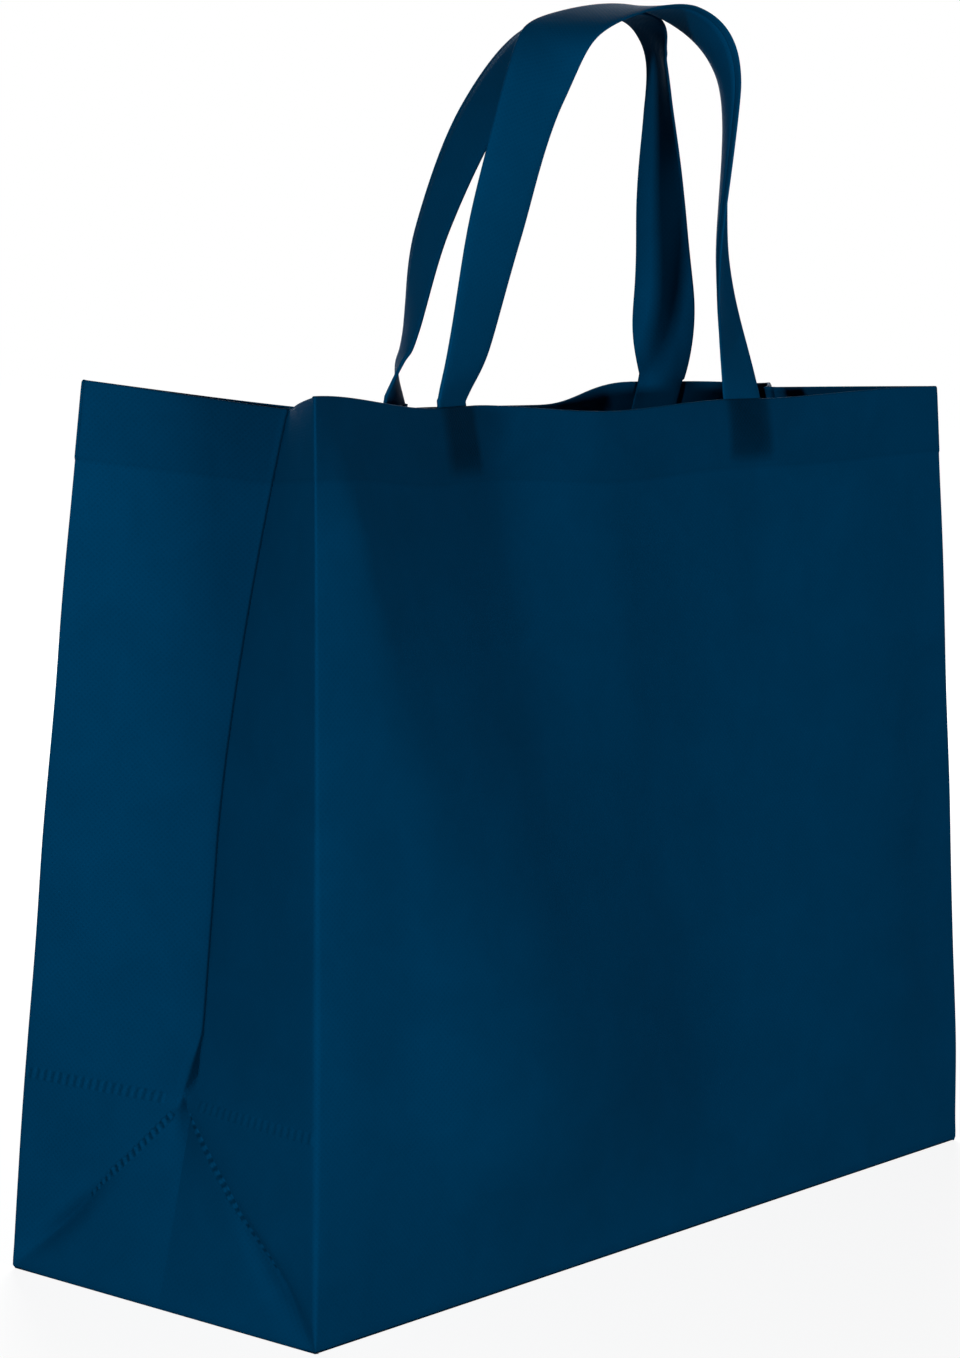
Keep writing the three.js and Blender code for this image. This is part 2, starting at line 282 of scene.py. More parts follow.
PANEL_COUNT = PANEL_STEPS + 2 * ROUND_STEPS
SIDE_COUNT = 2 * HALF_STEPS + 2 * MIDDLE_STEPS + 2 * ROUND_STEPS
RING_COUNT = 2 * (PANEL_COUNT + SIDE_COUNT)
RIGHT_SEAM = PANEL_COUNT + SIDE_COUNT // 2
LEFT_SEAM = 2 * PANEL_COUNT + SIDE_COUNT + SIDE_COUNT // 2

# Offsets that give each part of the cloth a place of its own in the material
REAR_OFFSET = 1.0
INSIDE_OFFSET = 1.0
BASE_OFFSET = 3
WELD_OFFSET = 5
FIN_OFFSET = 7

# Cloth: sizes of its patterns, and what each does to shade, roughness and relief
CLOTH_COLOUR = (0.0, 0.036, 0.095)
STRIP_COLOUR = (0.0, 0.041, 0.107)
BOND_PITCH = 0.0016
BOND_TURN = math.radians(45)
BOND_EDGE = (0.36, 0.20)
BOND_RANDOMNESS = 0.08
WAFFLE_PITCH = 0.0024
FIBRE = {"Scale": 1900.0, "Detail": 3.0, "Roughness": 0.65, "Distortion": 1.6}
CLOUD = {"Scale": 38.0, "Detail": 6.0, "Roughness": 0.6, "Distortion": 0.3}
# The pressed entry darkens pressed cloth; where its value is below zero it paints a highlight beside the
# weld bars
SHADE = {"fibre": 0.30, "cloud": 0.22, "bond": -0.08, "layers": -0.09, "pressed": -0.38, "waffle": 0.06}
ROUGHNESS = 0.78
ROUGHNESS_CHANGE = {"bond": -0.22, "fibre": 0.25}
RELIEF = {"fibre": 0.7, "bond": -0.6, "waffle": 0.8}
BUMP = {"Strength": 0.55, "Distance": 0.00009}
GLOSS = {
    "Specular IOR Level": 0.005,
    "Specular Tint": (0.1, 0.55, 1.0, 1),
    "Sheen Weight": 0.03,
    "Sheen Roughness": 0.45,
    "Sheen Tint": (0.0, 0.32, 0.65, 1),
}

# Floor: it glows white to the camera, a little less near the bag so that the shadow shows
FLOOR_HALF = 6.0
FLOOR_DROP = 0.0003
FLOOR_ALBEDO = 0.15
FLOOR_SHOWN_ALBEDO = 0.30
FLOOR_GLOW_NEAR = 0.86
FLOOR_NEAR = 0.30
FLOOR_FAR = 0.75

# Light: the world's strength, and each lamp's place, size and power in watts
WORLD_STRENGTH = 0.02
LAMP_TARGET = (0, 0, 0.2)
LAMPS = {
    "key": {"place": (-2.12, -0.57, 0.47), "size": (0.06, 0.06), "power": 30},
    "front": {"place": (-0.61, -2.11, 0.24), "size": (0.8, 0.2), "power": 25},
    "back": {"place": (1.4, 1.3, 0.9), "size": (1.2, 1.2), "power": 36},
}

# The photograph's camera: where it stands, how it is turned, and its focal length in pixels
CAMERA_PLACE = (-1.1892, -0.9204, 0.4095)
CAMERA_AZIMUTH = math.radians(-51.324)
CAMERA_PITCH = math.radians(7.015)
CAMERA_ROLL = math.radians(1.673)
FOCAL_PIXELS = 3585.6
PICTURE_HEIGHT = 1358
SENSOR = 36.0
CLIP_NEAR = 0.05
CLIP_FAR = 50

# The least length that a vector is divided by
TINY = 1e-9


def lerp(a, b, t):
    return a + (b - a) * t


def smoothstep(low, high, value):
    t = np.clip((value - low) / (high - low), 0.0, 1.0)
    return t * t * (3 - 2 * t)


def soft_least(a, b):
    """The lesser of two heights, a little less still where they are alike."""
    return (a**-4 + b**-4) ** -0.25


def hermite(a, slope_a, b, slope_b, length, t):
    """Cubic between two values with a given slope at each end."""
    t2 = t * t
    t3 = t2 * t
    start = a * (2 * t3 - 3 * t2 + 1) + slope_a * length * (t3 - 2 * t2 + t)
    return start + b * (3 * t2 - 2 * t3) + slope_b * length * (t3 - t2)


def unit(vectors):
    """Each row of vectors at length one."""
    return vectors / np.maximum(np.linalg.norm(vectors, axis=1), TINY)[:, None]


def distances(points):
    """How far along a line each of its points lies."""
    return np.concatenate([[0], np.cumsum(np.linalg.norm(np.diff(points, axis=0), axis=1))])


def resampled(points, along, wanted):
    """Points of a line at the wanted distances along it."""
    return np.stack([np.interp(wanted, along, points[:, k]) for k in range(3)], axis=-1)


def past_distance(points, distance):
    """The part of a line past a distance from its start, with the same count of points."""
    along = distances(points)
    wanted = distance + along / along[-1] * (along[-1] - distance)
    return resampled(points, along, wanted)


def weld_bar(phase):
    """One on a weld's bars and zero between them."""
    return smoothstep(*WELD_BAR, 0.5 + 0.5 * np.cos(2 * math.pi * phase))


# Rims and panels


def rim_knots(rim):
    """Rows of x, reach, reach slope, drop and drop slope, from left to right."""
    leg = LEG_SPACING / 2
    straight = STRIP_WIDTH / 2 + STRIP_MARGIN

    def leg_rows(x, station):
        return [
            [x + along, station["reach"] + station["slope"] * along, station["slope"], station["drop"], 0]
            for along in (-straight, straight)
        ]

    knots = np.array([
        [-WIDTH / 2, rim["left"]["reach"], 0, rim["left"]["drop"], rim["left"].get("drop_slope", 0)],
        *leg_rows(-leg, rim["left_leg"]),
        [0, rim["middle"]["reach"], 0, rim["middle"]["drop"], 0],
        *leg_rows(leg, rim["right_leg"]),
        [WIDTH / 2, rim["right"]["reach"], 0, rim["right"]["drop"], 0],
    ])
    knots[0, 2] = (knots[1, 1] - knots[0, 1]) / (knots[1, 0] - knots[0, 0])
    knots[-1, 2] = (knots[-1, 1] - knots[-2, 1]) / (knots[-1, 0] - knots[-2, 0])
    return knots


def rim_at(knots, x):
    """Reach and drop of a rim at each x."""
    i = np.clip(np.searchsorted(knots[:, 0], x, side="right") - 1, 0, len(knots) - 2)
    a = knots[i]
    b = knots[i + 1]
    length = b[..., 0] - a[..., 0]
    t = (x - a[..., 0]) / length
    reach = hermite(a[..., 1], a[..., 2], b[..., 1], b[..., 2], length, t)
    drop = hermite(a[..., 3], a[..., 4], b[..., 3], 0, length, t)
    return reach, drop


FRONT_KNOTS = rim_knots(FRONT_RIM)
REAR_KNOTS = rim_knots(REAR_RIM)


def wedge(side, x, s):
    """The bulge beside a corner: it rises from the corner, flattens and falls off again."""
    from_corner = x + WIDTH / 2 if side < 0 else WIDTH / 2 - x
    reach = lerp(WEDGE_FOOT, WEDGE_TOP, s)
    height = soft_least(WEDGE_SLOPE * reach * (1 + WEDGE_FLAT) / 2, WEDGE_HEIGHT)
    share = np.clip(from_corner / reach, 0, 1)
    past = np.maximum(share - WEDGE_FLAT, 0)
    rising = (share - past**2 / (2 * (1 - WEDGE_FLAT))) / ((1 + WEDGE_FLAT) / 2)
    falling = np.cos(np.clip((from_corner - reach) / WEDGE_FALL, 0, 1) * math.pi / 2) ** 2
    return height * rising * falling


def swell(side, x, s):
    """How far a long panel stands out from the straight lean, in metres."""
    ends = smoothstep(0, WAVE_RUN, WIDTH / 2 - np.abs(x))
    wave_height = FRONT_WAVE if side < 0 else REAR_WAVE
    wave = wave_height * np.sin((x + side * WAVE_CREST) * side * -2 * math.pi / WAVE_LENGTH) * ends
    under_legs = np.exp(-(((np.abs(x) - LEG_SPACING / 2) / TUG_SPREAD) ** 2))
    tug = -TUG * under_legs * smoothstep(*TUG_START, s)
    body = smoothstep(*BULGE_START, s) * (1 - smoothstep(*BULGE_END, s))
    return (wedge(side, x, s) + wave) * body + tug * (1 - smoothstep(*TUG_END, s))


def panel_point(x, side, s):
    """Points of a long panel's outer face at stations x and a share s of the height."""
    x = np.asarray(x, float)
    reach, drop = rim_at(FRONT_KNOTS if side < 0 else REAR_KNOTS, x)
    y = side * (lerp(DEPTH / 2, reach, s**LEAN_POWER) + swell(side, x, s))
    lean = RIGHT_LEAN * np.maximum(x / (WIDTH / 2), 0) * s
    return np.stack([x - lean, y, s * (HEIGHT - drop)], axis=-1)


# Folded-in sides


def fold_depth(s, rim_depth):
    """How far the middle fold lies inward."""
    rise = s * HEIGHT - WELD_APEX
    if rise <= 0:
        return APEX_DEPTH * (1 + rise / WELD_APEX)
    if rise <= WAIST["rise"]:
        knots = [0, SHOULDER["rise"], WAIST["rise"]]
        return float(np.interp(rise, knots, [APEX_DEPTH, SHOULDER["depth"], WAIST["depth"]]))
    t = (rise - WAIST["rise"]) / (HEIGHT - WELD_APEX - WAIST["rise"])
    return lerp(WAIST["depth"], rim_depth, t**FOLD_POWER)


def slit_section(rise):
    """Sideways and inward distances of the seam's slit, from its shoulder to its middle."""
    pit = math.exp(-(((rise - PIT_RISE) / PIT_SPREAD) ** 2))
    half = SLIT_HALF * (1 + SLIT_OPENING * pit)
    depth = (SLIT_DEPTH + PIT_DEPTH * pit) * float(smoothstep(0, PIT_RISE, rise))
    share = np.linspace(1, 0, MIDDLE_STEPS + 1)
    widths = half * SLIT_WIDTHS
    widths[-1] += SLIT_SHOULDER
    sideways = np.interp(share, SLIT_STATIONS, widths)
    inward = depth * np.interp(share, SLIT_STATIONS, SLIT_DEPTHS)
    return sideways, inward


def triangle_section(s, flat):
    """The same distances across half of the triangle under the weld apex."""
    share = 0.5 * (1 + np.cos(np.linspace(0, math.pi, MIDDLE_STEPS + 1)))
    low = min(s * HEIGHT / WELD_APEX, 1)
    inward = CREASE_DEPTH * low**CREASE_GROWTH * (1 - share) ** CREASE_EDGE
    return flat * share, inward


def weld_groove(distance, s):
    """How far the cloth is drawn inward beside a diagonal weld, most of all near the corner."""
    height = s * HEIGHT / WELD_APEX
    low = 1 - smoothstep(*GROOVE_LOW, height)
    depth = GROOVE_DEPTH + GROOVE_EXTRA_DEPTH * low * smoothstep(*GROOVE_START, height)
    spread = GROOVE_SPREAD + GROOVE_EXTRA_SPREAD * low
    return depth * np.exp(-((distance / spread) ** 2)) * (1 - smoothstep(*GROOVE_END, height))


def half_side(corner, weld, s):
    """Points from a corner to its weld point, closer together toward the weld."""
    share = 1 - (1 - np.linspace(0, 1, HALF_STEPS + 1)) ** HALF_POWER
    span = weld - corner
    length = np.linalg.norm(span)
    points = corner + span * share[:, None]
    outward = np.array([span[1], -span[0], 0]) / length
    if outward[0] * corner[0] < 0:
        outward = -outward
    bend = SIDE_BOW * np.sin(share * math.pi) * smoothstep(*BOW_RISE, s)
    groove = weld_groove(length * (1 - share), s) * smoothstep(*GROOVE_SIDE, share)
    # The weld point lies in the groove, so the line to it already sinks by this much
    already = float(weld_groove(0, s)) * share
    return points + outward * (bend - groove + already)[:, None]


def side_points(right_side, s):
    """One folded-in side in four runs of points, anticlockwise from its first corner.

    The runs are the half beside the first corner, the middle as far as the seam, the middle past
    the seam, and the half beside the second corner. Neighbours share their end points.
    """
    end = 1 if right_side else -1
    fold = RIGHT_FOLD if right_side else LEFT_FOLD
    first = panel_point(end * WIDTH / 2, -end, s)
    second = panel_point(end * WIDTH / 2, end, s)
    middle_y = FOLD_Y * s
    half_length = min(abs(first[1] - middle_y), abs(second[1] - middle_y))
    apex_share = min(s * HEIGHT / WELD_APEX, 1)
    rise = s * HEIGHT - WELD_APEX
    slit_side, slit_in = slit_section(max(rise, 0))
    flat = max((1 - apex_share) * half_length, slit_side[0])
    if apex_share == 0:
        flat = half_length * (1 - FOOT_SHARE)
    triangle_side, triangle_in = triangle_section(s, flat)
    mix = float(smoothstep(*SLIT_MIX, rise))
    sideways = lerp(triangle_side, slit_side, mix)
    inward = lerp(triangle_in, slit_in, mix)
    inward = inward + weld_groove(flat - sideways, s)
    x = (first[0] + second[0]) / 2 - end * (fold_depth(s, fold["depth"]) + inward)
    z = np.full_like(x, (first[2] + second[2]) / 2 - fold["drop"] * s**DROP_POWER)
    near = np.stack([x, middle_y - end * sideways, z], axis=-1)
    far = np.stack([x, middle_y + end * sideways, z], axis=-1)[::-1]
    return half_side(first, near[0], s), near, far, half_side(second, far[-1], s)[::-1]


def rounded(before, corner, after):
    """A corner's round between a point on each side of it."""
    t = np.linspace(0, 1, 2 * ROUND_STEPS + 1)[:, None]
    return (1 - t) ** 2 * before + 2 * t * (1 - t) * corner + t**2 * after


def outer_ring(s):
    """The outer face at a share s of the height, anticlockwise from the middle of the front-left round."""
    right_near, right_in, right_out, right_far = side_points(True, s)
    left_near, left_in, left_out, left_far = side_points(False, s)
    right_front, right_rear = right_near[0], right_far[-1]
    left_rear, left_front = left_near[0], left_far[-1]

    most = float(np.interp(s, CORNER_SHARES, CORNER_RADII))
    halves = (right_near, right_far, left_near, left_far)
    radii = [min(most, CORNER_MOST * np.linalg.norm(half[-1] - half[0])) for half in halves]
    front_x = np.linspace(-WIDTH / 2 + radii[3], WIDTH / 2 - radii[0], PANEL_STEPS + 1)
    rear_x = np.linspace(WIDTH / 2 - radii[1], -WIDTH / 2 + radii[2], PANEL_STEPS + 1)
    front = panel_point(front_x, -1, s)
    rear = panel_point(rear_x, 1, s)
    right_near = past_distance(right_near, radii[0])
    right_far = past_distance(right_far[::-1], radii[1])[::-1]
    left_near = past_distance(left_near, radii[2])
    left_far = past_distance(left_far[::-1], radii[3])[::-1]

    first_round = rounded(left_far[-1], left_front, front[0])
    return np.concatenate([
        first_round[ROUND_STEPS:-1], front, rounded(front[-1], right_front, right_near[0])[1:-1],
        right_near, right_in[1:], right_out[1:], right_far[1:],
        rounded(right_far[-1], right_rear, rear[0])[1:-1], rear,
        rounded(rear[-1], left_rear, left_near[0])[1:-1],
        left_near, left_in[1:], left_out[1:], left_far[1:], first_round[1:ROUND_STEPS],
    ])


def inset(ring, amount):
    """The ring moved inward in plan, with mitred corners."""
    before = ring - np.roll(ring, 1, axis=0)
    after = np.roll(ring, -1, axis=0) - ring

    def normal(edge):
        return unit(np.stack([-edge[:, 1], edge[:, 0]], axis=-1))

    mitre = normal(before) + normal(after)
    scale = 2 * amount / np.maximum((mitre**2).sum(axis=1), 1.0)
    moved = ring.copy()
    moved[:, :2] += mitre * scale[:, None]
    return moved


def lowered(ring, amount):
    moved = ring.copy()
    moved[:, 2] -= amount
    return moved


def cloth_across(ring):
    """Where each step's two ends lie across the web, measured along it from its panel's middle."""
    step = np.linalg.norm(np.roll(ring, -1, axis=0) - ring, axis=1)
    along = np.concatenate([[0], np.cumsum(step)])
    front_middle = along[PANEL_COUNT // 2]
    rear_middle = along[PANEL_COUNT + SIDE_COUNT + PANEL_COUNT // 2]
    index = np.arange(RING_COUNT)
    is_rear = (index >= RIGHT_SEAM) & (index < LEFT_SEAM)
    past_seam = index >= LEFT_SEAM
    after = np.where(past_seam, front_middle + along[-1], front_middle)
    zero = np.where(is_rear, rear_middle - REAR_OFFSET, after)
    return along[:-1] - zero, along[1:] - zero


# Meshes


def add_object(name, data):
    """A new object in the scene."""
    thing = bpy.data.objects.new(name, data)
    bpy.context.scene.collection.objects.link(thing)
    return thing


def ring_flat(across, v):
    """Flat coordinates of a ring's steps at one height."""
    starts, ends = across
    return np.stack([starts, np.full_like(starts, v)], -1), np.stack([ends, np.full_like(ends, v)], -1)


def line_flat(across, v, offset=0):
    """Flat coordinates of the steps of an open row, whose points lie at these places across."""
    row = np.stack([across, np.full_like(across, v)], -1) + offset
    return row[:-1], row[1:]


class Cloth:
    """A mesh under construction.

    Each point says how many extra layers of cloth lie behind it and how hard it is pressed; where
    that value is below zero, it is a painted highlight beside a weld bar. Each face has a flat
    coordinate at its corners, which the material's patterns follow.
    """

    def __init__(self):
        self.points = []
        self.layers = []
        self.pressed = []
        self.faces = []
        self.flat = []
        self.count = 0
        self.last = None

    def add(self, points, layers=0.0, pressed=0.0):
        start = self.count
        self.points.append(points)
        self.layers.append(np.broadcast_to(layers, len(points)))
        self.pressed.append(np.broadcast_to(pressed, len(points)))
        self.count += len(points)
        return np.arange(start, self.count)

    def grid(self, lower, upper, flat_lower, flat_upper, closed, flip=False):
        """Quads between two rows. The flat coordinates are given for each step's two ends."""
        count = len(lower) if closed else len(lower) - 1
        for i in range(count):
            j = (i + 1) % len(lower)
            face = [lower[i], lower[j], upper[j], upper[i]]
            flat = [flat_lower[0][i], flat_lower[1][i], flat_upper[1][i], flat_upper[0][i]]
            self.faces.append(face[::-1] if flip else face)
            self.flat.append(flat[::-1] if flip else flat)

    def ring(self, points, flat, layers=0.0, pressed=0.0, from_flat=None):
        """A closed row that is joined to the one before it, from its flat coordinates or other ones."""
        row = self.add(points, layers, pressed)
        if self.last:
            self.grid(self.last[0], row, from_flat or self.last[1], flat, True)
        self.last = (row, flat)
        return row

    def sweep(self, rows, across, along, offset=0, closed=False, flip=False):
        """Quads between rows of points that lie at these places across and along the cloth."""
        flats = [line_flat(across, v, offset) for v in along]
        for i in range(len(rows) - 1):
            self.grid(rows[i], rows[i + 1], flats[i], flats[i + 1], closed, flip)

    def cap(self, row, flip):
        """Quads that close an end, between the two halves of its outline."""
        count = len(row)
        for k in range(count // 2 - 1):
            face = [row[k], row[k + 1], row[count - 2 - k], row[count - 1 - k]]
            self.faces.append(face[::-1] if flip else face)
            self.flat.append([(0.0, 0.0)] * 4)

    def build(self, name, material):
        mesh = bpy.data.meshes.new(name)
        faces = [list(map(int, face)) for face in self.faces]
        mesh.from_pydata(np.concatenate(self.points).tolist(), [], faces)
        layer = mesh.uv_layers.new(name="cloth")
        corners = np.array([c for face in self.flat for c in face], np.float32)
        layer.data.foreach_set("uv", corners.ravel())
        for label, values in (("layers", self.layers), ("pressed", self.pressed)):
            attribute = mesh.attributes.new(label, "FLOAT", "POINT")
            attribute.data.foreach_set("value", np.concatenate(values).astype(np.float32))
        mesh.polygons.foreach_set("use_smooth", np.ones(len(faces), bool))
        mesh.materials.append(material)
        mesh.validate()
        return add_object(name, mesh)


# The web


def leg_patches(ring):
    """One where a handle leg is welded behind the hem, zero elsewhere."""
    from_leg = np.abs(np.abs(ring[:, 0]) - LEG_SPACING / 2)
    return 1 - smoothstep(STRIP_WIDTH / 2 - PATCH_INNER, STRIP_WIDTH / 2 + PATCH_OUTER, from_leg)


def above_hem_edge(s):
    """How far a share of the height lies above the hem's lower edge, in metres."""
    return s * HEIGHT - (HEIGHT - HEM)


def hem_share(s):
    """One on the hem, zero under its lower edge."""
    return float(smoothstep(-HEM_BLEND, HEM_BLEND, above_hem_edge(s)))


def hem_line(s):
    """The faint pressed line along the hem's lower edge."""
    return HEM_LINE * math.exp(-((above_hem_edge(s) / HEM_LINE_SPREAD) ** 2))


def soften(ring, s):
    """The ring with a slow unevenness that dies out at the base, the hem and the seams."""
    top = 1 - WOBBLE_CUT * float(smoothstep(*WOBBLE_END, s))
    strength = WOBBLE * float(smoothstep(*WOBBLE_START, s)) * top
    outward = unit(ring - inset(ring, OUTWARD_STEP))
    wobble = np.array([noise.noise(Vector(point) * WOBBLE_SCALE + WOBBLE_OFFSET) for point in ring])
    index = np.arange(RING_COUNT)
    from_seam = np.minimum(np.abs(index - RIGHT_SEAM), np.abs(index - LEFT_SEAM))
    calm = smoothstep(MIDDLE_STEPS, MIDDLE_STEPS + HALF_STEPS, from_seam)
    hem_step = HEM_STEP * hem_share(s)
    return ring + outward * (wobble * strength * calm + hem_step * calm)[:, None]


class Rows:
    """Rings of the outer face at some shares of the height, lowest first."""

    def __init__(self, heights):
        self.shares = np.asarray(heights) / HEIGHT
        self.rings = [soften(outer_ring(s), s) for s in self.shares]
        self.across = [cloth_across(ring) for ring in self.rings]

    def flat(self, k, offset=0):
        """Flat coordinates of one ring."""
        return ring_flat(self.across[k], self.shares[k] * HEIGHT + offset)


def base_height(x, y):
    """The base's underside: flat, with a low crease along the middle."""
    crease = BASE_CREASE * np.exp(-np.abs(y) / BASE_CREASE_SPREAD)
    return crease * smoothstep(0, BASE_CREASE_RUN, WIDTH / 2 - np.abs(x))


def base_patch(cloth, edge, ring_index, lift, flip):
    """A grid across the base whose edge is a ring that is already there."""
    n, m = PANEL_COUNT, SIDE_COUNT
    front = ring_index[: n + 1]
    right = ring_index[n : n + m + 1]
    rear = ring_index[n + m : 2 * n + m + 1][::-1]
    left = np.concatenate([ring_index[2 * n + m :], ring_index[:1]])[::-1]
    at = dict(zip(ring_index.tolist(), edge))
    edges = [[at[i] for i in line.tolist()] for line in (front, rear, left, right)]
    grid = np.zeros((m + 1, n + 1), int)
    grid[0], grid[m], grid[:, 0], grid[:, n] = front, rear, left, right
    place = np.zeros((m + 1, n + 1, 3))
    place[0], place[m], place[:, 0], place[:, n] = edges
    for j in range(1, m):
        v = (place[j, 0, 1] - place[0, 0, 1]) / (place[m, 0, 1] - place[0, 0, 1])
        row = lerp(place[0, 1:n], place[m, 1:n], v)
        row[:, 2] = base_height(row[:, 0], row[:, 1]) + lift
        place[j, 1:n] = row
        grid[j, 1:n] = cloth.add(row)
    for j in range(m):
        lower = place[j, :, :2] + [0, BASE_OFFSET]
        upper = place[j + 1, :, :2] + [0, BASE_OFFSET]
        cloth.grid(grid[j], grid[j + 1], (lower[:-1], lower[1:]), (upper[:-1], upper[1:]), False, flip)


def add_outer_face(cloth, base_ring, walls, hems):
    """The underside, and the outer face from the base's edge to the rim."""
    foot_flat = ring_flat(cloth_across(base_ring), 0.0)
    foot = []
    for angle in np.linspace(0, math.pi / 2, BASE_STEPS + 1)[:-1]:
        ring = inset(base_ring, BASE_ROUNDING * (1 - math.sin(angle)))
        ring[:, 2] = BASE_ROUNDING * (1 - math.cos(angle))
        foot.append((cloth.ring(ring, foot_flat), ring))
    for k, s in enumerate(walls.shares):
        cloth.ring(walls.rings[k], walls.flat(k), hem_share(s), hem_line(s))
    for k, s in enumerate(hems.shares[:-1]):
        patch = leg_patches(hems.rings[k]) * smoothstep(0, PATCH_RISE, above_hem_edge(s))
        cloth.ring(hems.rings[k], hems.flat(k), 1.0 + patch, patch)
    patch = leg_patches(hems.rings[-1])
    rim_flat = ring_flat(hems.across[-1], HEIGHT - RIM_FOLD)
    cloth.ring(lowered(hems.rings[-1], RIM_FOLD), rim_flat, 1.0 + patch, patch)
    row, ring = foot[0]
    base_patch(cloth, ring, row, 0, True)


def add_hem(cloth, hems):
    """The rim's fold, the hem down the inside, and the pocket behind it up to the rim."""
    outer = CLOTH + HEM_GAP
    inner = outer + CLOTH
    rim = hems.rings[-1]
    rim_flat = ring_flat(hems.across[-1], HEIGHT)
    patch = leg_patches(rim)
    for angle in np.linspace(0, math.pi, RIM_STEPS + 1)[1:-1]:
        ring = lowered(inset(rim, RIM_FOLD * (1 - math.cos(angle))), RIM_FOLD * (1 - math.sin(angle)))
        cloth.ring(ring, rim_flat, 1.0 + patch, patch, rim_flat)
    for k in reversed(range(HEM_ROWS)):
        ring = inset(hems.rings[k], inner)
        cloth.ring(lowered(ring, RIM_FOLD) if k == HEM_ROWS - 1 else ring, hems.flat(k, INSIDE_OFFSET), 1.0)

    lowest = hems.rings[0]
    foot_flat = hems.flat(0, INSIDE_OFFSET)
    tip = (inner + outer) / 2
    for inward, drop in ((inner - HEM_TIP, 0), (tip, CLOTH / 2), (outer + HEM_TIP, 0)):
        cloth.ring(lowered(inset(lowest, inward), HEM_ROW + drop), foot_flat, 1.0)
    for k in range(HEM_ROWS):
        ring = inset(hems.rings[k], outer)
        cloth.ring(lowered(ring, RIM_FOLD + CLOTH) if k == HEM_ROWS - 1 else ring, foot_flat)
    cloth.ring(lowered(inset(rim, CLOTH), RIM_FOLD + CLOTH), foot_flat)


def add_inner_face(cloth, base_ring, walls, hems):
    """The inner face from the top of the hem's pocket down to the floor inside, and that floor."""
    rim_flat = ring_flat(hems.across[-1], HEIGHT)
    foot_flat = hems.flat(0, INSIDE_OFFSET)
    for rows, kept in ((hems, range(HEM_ROWS - 1)), (walls, range(0, len(walls.shares), 2))):
        # Each run's first strip is hidden behind the hem, so its coordinates may stretch
        from_flat = rim_flat
        for k in reversed(kept):
            cloth.ring(inset(rows.rings[k], CLOTH), rows.flat(k, INSIDE_OFFSET), from_flat=from_flat)
            from_flat = None

    edge = inset(base_ring, CLOTH + FLOOR_ROUNDING)
    edge[:, 2] = CLOTH + FLOOR_ROUNDING
    cloth.ring(edge, foot_flat, from_flat=foot_flat)
    floor_ring = inset(base_ring, CLOTH + BASE_ROUNDING)
    floor_ring[:, 2] = CLOTH
    floor_row = cloth.ring(floor_ring, foot_flat)
    base_patch(cloth, floor_ring, floor_row, CLOTH, False)


def make_web(material):
    """The bag's one web of cloth, as a closed skin."""
    cloth = Cloth()
    wall_heights = [np.linspace(*run) for run in WALL_RUNS]
    wall_heights.append([HEIGHT - HEM + offset for offset in HEM_EDGE_ROWS])
    walls = Rows(np.concatenate(wall_heights))
    hems = Rows(np.linspace(HEIGHT - HEM + HEM_ROW, HEIGHT, HEM_ROWS))
    base_ring = outer_ring(0.0)
    add_outer_face(cloth, base_ring, walls, hems)
    add_hem(cloth, hems)
    add_inner_face(cloth, base_ring, walls, hems)
    return cloth.build("web", material)


# Handles


def root_frame(rim, side, leg, s):
    """Where a leg lies against the inside of the hem, and the strip's direction there."""
    station = rim["left_leg" if leg < 0 else "right_leg"]
    point = np.array([
        leg * LEG_SPACING / 2 - RIGHT_LEAN * max(leg * LEG_SPACING / WIDTH, 0) * s,
        side * lerp(DEPTH / 2, station["reach"], s**LEAN_POWER),
        s * (HEIGHT - station["drop"]),
    ])
    point[1] += side * swell(side, leg * LEG_SPACING / 2, min(s, 1))
    depth = 2 * CLOTH + HEM_GAP + WELD_GAP + STRIP_THICKNESS / 2
    rim_turn = math.atan(side * station["slope"] * s**LEAN_POWER)
    point[0] += side * math.sin(rim_turn) * depth
    point[1] -= side * math.cos(rim_turn) * depth
    return point, rim_turn if leg < 0 else rim_turn + side * math.pi


def catmull_rom(knots, t):
    """A smooth curve through the knots, at shares t of its length in knots."""
    knots = np.asarray(knots, float)
    padded = np.concatenate([[2 * knots[0] - knots[1]], knots, [2 * knots[-1] - knots[-2]]])
    place = t * (len(knots) - 1)
    i = np.minimum(place.astype(int), len(knots) - 2)
    w = (place - i)[:, None]
    p0, p1, p2, p3 = padded[i], padded[i + 1], padded[i + 2], padded[i + 3]
    return 0.5 * (
        2 * p1 + (p2 - p0) * w + (2 * p0 - 5 * p1 + 4 * p2 - p3) * w**2 + (3 * p1 - p0 - 3 * p2 + p3) * w**3
    )


